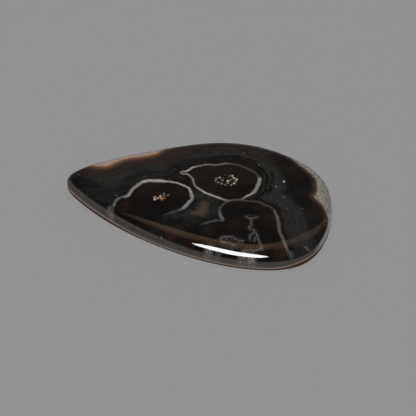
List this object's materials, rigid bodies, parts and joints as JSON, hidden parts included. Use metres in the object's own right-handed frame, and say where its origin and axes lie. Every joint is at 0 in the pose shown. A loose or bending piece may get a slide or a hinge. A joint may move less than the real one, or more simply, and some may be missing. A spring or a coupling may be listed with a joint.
{
  "type": "agate cabochon",
  "caption": "Teardrop cabochon of polished banded agate with a low domed face, small crystal-lined pockets and a flat back to rest on or be set from.",
  "frame": {"origin": "middle of the flat back, which is the bottom centre of the bounding box", "axes": "+X from the narrow tip to the round end, the longest extent; +Z out of the polished face, the shortest extent"},
  "size_m": [0.0556, 0.0352, 0.0055],
  "materials": {
    "agate": null
  },
  "bodies": {
    "root": {"stone": "agate"}
  },
  "joints": []
}
